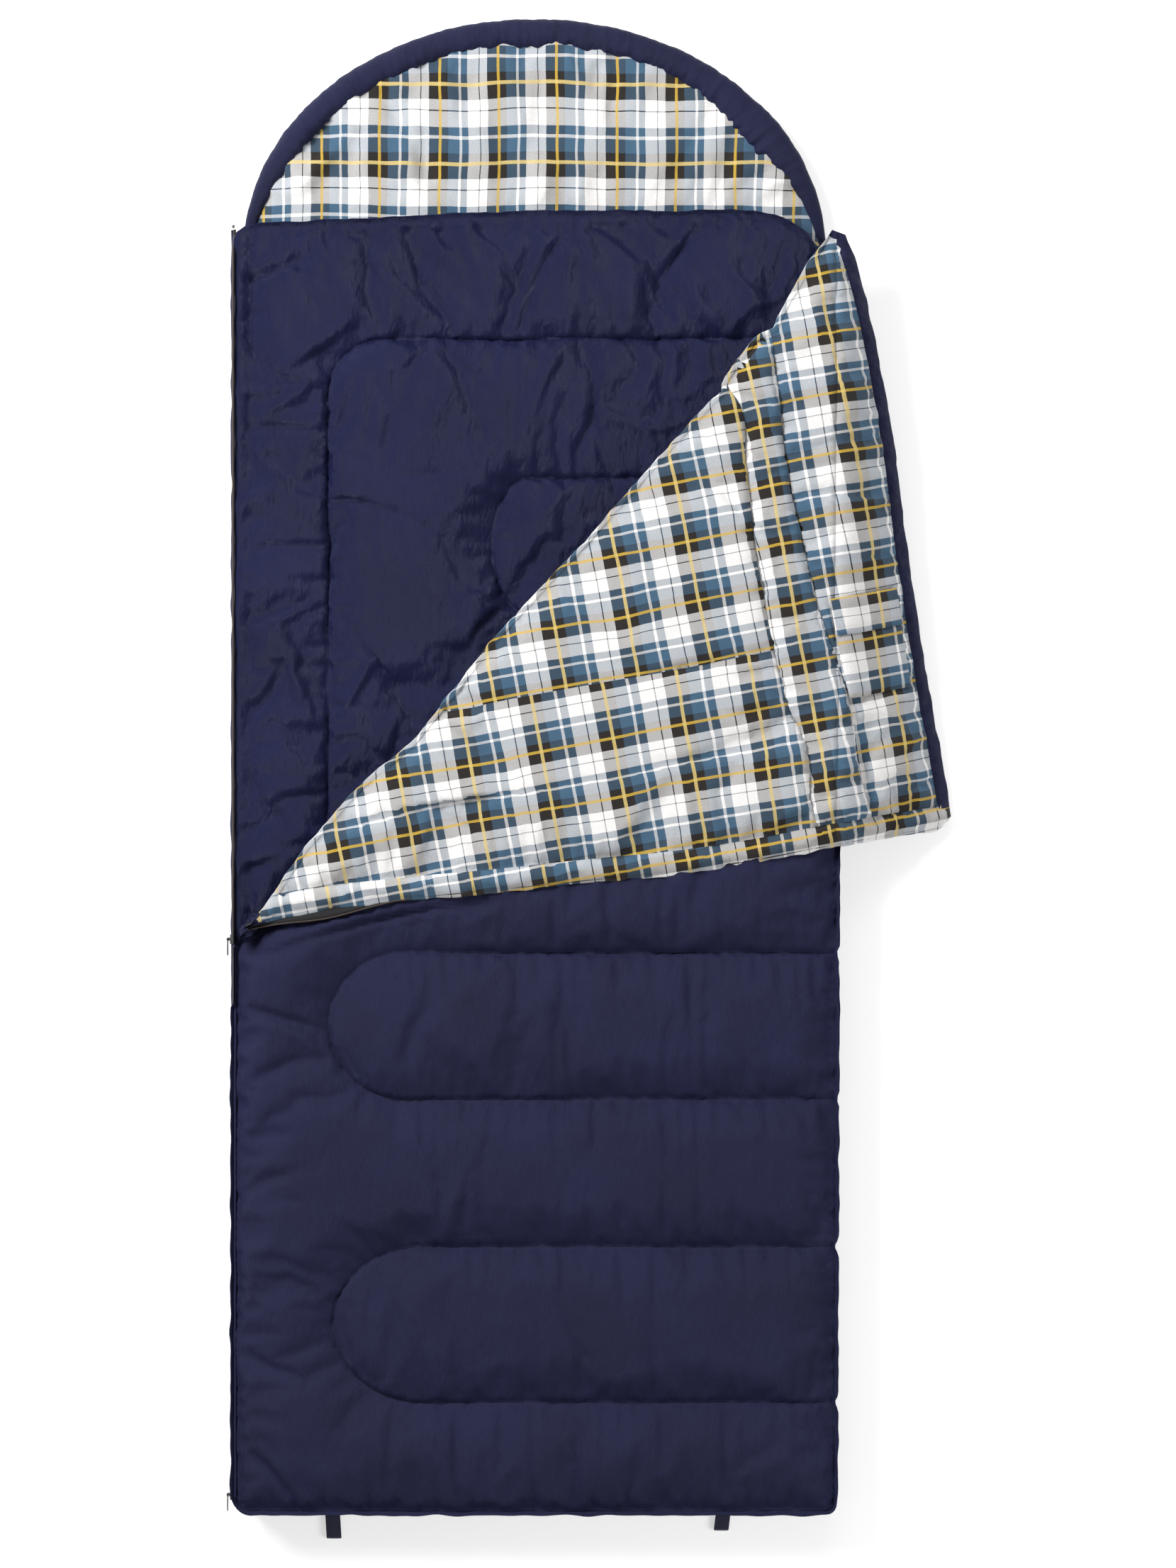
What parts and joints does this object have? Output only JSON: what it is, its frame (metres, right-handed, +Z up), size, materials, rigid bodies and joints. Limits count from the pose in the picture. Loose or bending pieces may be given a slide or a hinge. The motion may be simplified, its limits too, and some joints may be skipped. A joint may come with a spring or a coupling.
{
  "type": "sleeping bag",
  "caption": "Rectangular padded sleeping bag with a hood, an inner quilt and a zipped front panel whose upper corner is turned back over a checked lining.",
  "frame": {"origin": "middle of the back panel's underside, halfway between the foot and the crown of the hood, on the ground", "axes": "+X across the bag towards its sewn edge, +Y from the foot to the hood, +Z up"},
  "size_m": [1.0638, 2.2846, 0.1138],
  "materials": {
    "navy_shell": "matt woven polyester",
    "satin_shell": "satin woven polyester",
    "plaid_lining": "brushed cotton check",
    "wadding": "hollow-fibre wadding",
    "webbing": "woven tape",
    "zip_tape": "knitted tape",
    "elastic": "covered elastic",
    "zip_chain": "moulded nylon coil",
    "silver_metal": "plated zinc"
  },
  "bodies": {
    "bag": {"back_shell": "navy_shell", "back_filling": "wadding", "back_lining": "plaid_lining", "quilt_shell": "satin_shell", "quilt_filling": "wadding", "quilt_lining": "plaid_lining", "front_shell": "navy_shell", "front_filling": "wadding", "front_lining": "plaid_lining", "side_seam": "navy_shell", "foot_seam": "navy_shell", "zip_tape_back": "zip_tape", "zip_tape_front": "zip_tape", "zip_chain_back": "zip_chain", "zip_chain_front": "zip_chain", "zip_stop_top": "silver_metal", "zip_stop_bottom": "silver_metal"},
    "quilt_corner": {"quilt_corner_shell": "satin_shell", "quilt_corner_filling": "wadding", "quilt_corner_lining": "plaid_lining"},
    "hood": {"hood_shell": "navy_shell", "hood_filling": "wadding", "hood_lining": "plaid_lining", "hood_rim": "navy_shell", "rim_elastic": "elastic"},
    "flap": {"flap_shell": "navy_shell", "flap_filling": "wadding", "flap_lining": "plaid_lining", "flap_hem": "plaid_lining", "draught_tube": "plaid_lining", "zip_tape_flap": "zip_tape", "zip_chain_flap": "zip_chain"},
    "flap_corner": {"corner_shell": "navy_shell", "corner_filling": "wadding", "corner_lining": "plaid_lining", "corner_hem": "plaid_lining", "corner_tube": "plaid_lining", "pocket": "plaid_lining", "zip_tape_corner": "zip_tape", "zip_chain_corner": "zip_chain"},
    "pocket_flap": {"pocket_flap": "plaid_lining"},
    "slider_upper": {"slider_upper": "silver_metal"},
    "pull_upper": {"pull_upper": "silver_metal"},
    "slider_lower": {"slider_lower": "silver_metal"},
    "pull_lower": {"pull_lower": "silver_metal"},
    "loop_left": {"loop_left": "webbing"},
    "loop_right": {"loop_right": "webbing"}
  },
  "joints": [
    {"name": "flap_fold", "type": "hinge", "parent": "bag", "child": "flap", "pos_m": [-0.447, -0.2695, 0.087], "axis": [-0.6387, -0.7694, 0], "range_deg": [0, 179.9]},
    {"name": "corner_hang", "type": "hinge", "parent": "flap", "child": "flap_corner", "pos_m": [0.447, 0, 0.088], "axis": [0, -1, 0], "range_deg": [0, 26]},
    {"name": "pocket_flap_lift", "type": "hinge", "parent": "flap_corner", "child": "pocket_flap", "pos_m": [0.54027, 0.26113, 0.06899], "axis": [0.8834, 0.1841, -0.4309], "range_deg": [-170, 0]},
    {"name": "hood_lift", "type": "hinge", "parent": "bag", "child": "hood", "pos_m": [0, 0.8355, 0.028], "axis": [1, 0, 0], "range_deg": [0, 80]},
    {"name": "quilt_lift", "type": "hinge", "parent": "bag", "child": "quilt_corner", "pos_m": [-0.48932, -0.23437, 0.06], "axis": [-0.6387, -0.7694, 0], "range_deg": [-110, 0]},
    {"name": "slider_upper_slide", "type": "slide", "parent": "bag", "child": "slider_upper", "axis": [0, 1, 0], "range_m": [0, 1.065]},
    {"name": "pull_upper_swing", "type": "hinge", "parent": "slider_upper", "child": "pull_upper", "pos_m": [-0.4568, -0.2625, 0.0605], "axis": [0, 0, 1], "range_deg": [-170, 0]},
    {"name": "slider_lower_slide", "type": "slide", "parent": "bag", "child": "slider_lower", "axis": [0, 1, 0], "range_m": [0, 0.8]},
    {"name": "pull_lower_swing", "type": "hinge", "parent": "slider_lower", "child": "pull_lower", "pos_m": [-0.4568, -1.0915, 0.0605], "axis": [0, 0, 1], "range_deg": [-170, 0]},
    {"name": "loop_left_swing", "type": "hinge", "parent": "bag", "child": "loop_left", "pos_m": [-0.305, -1.122, 0.0039], "axis": [-1, 0, 0], "range_deg": [0, 80]},
    {"name": "loop_right_swing", "type": "hinge", "parent": "bag", "child": "loop_right", "pos_m": [0.285, -1.122, 0.0039], "axis": [-1, 0, 0], "range_deg": [0, 80]}
  ],
  "couplings": [
    {"joint": "corner_hang", "follows": "flap_fold", "ratio": 0.14452},
    {"joint": "slider_upper_slide", "follows": "flap_fold", "m_per_rad": 0.33919}
  ]
}
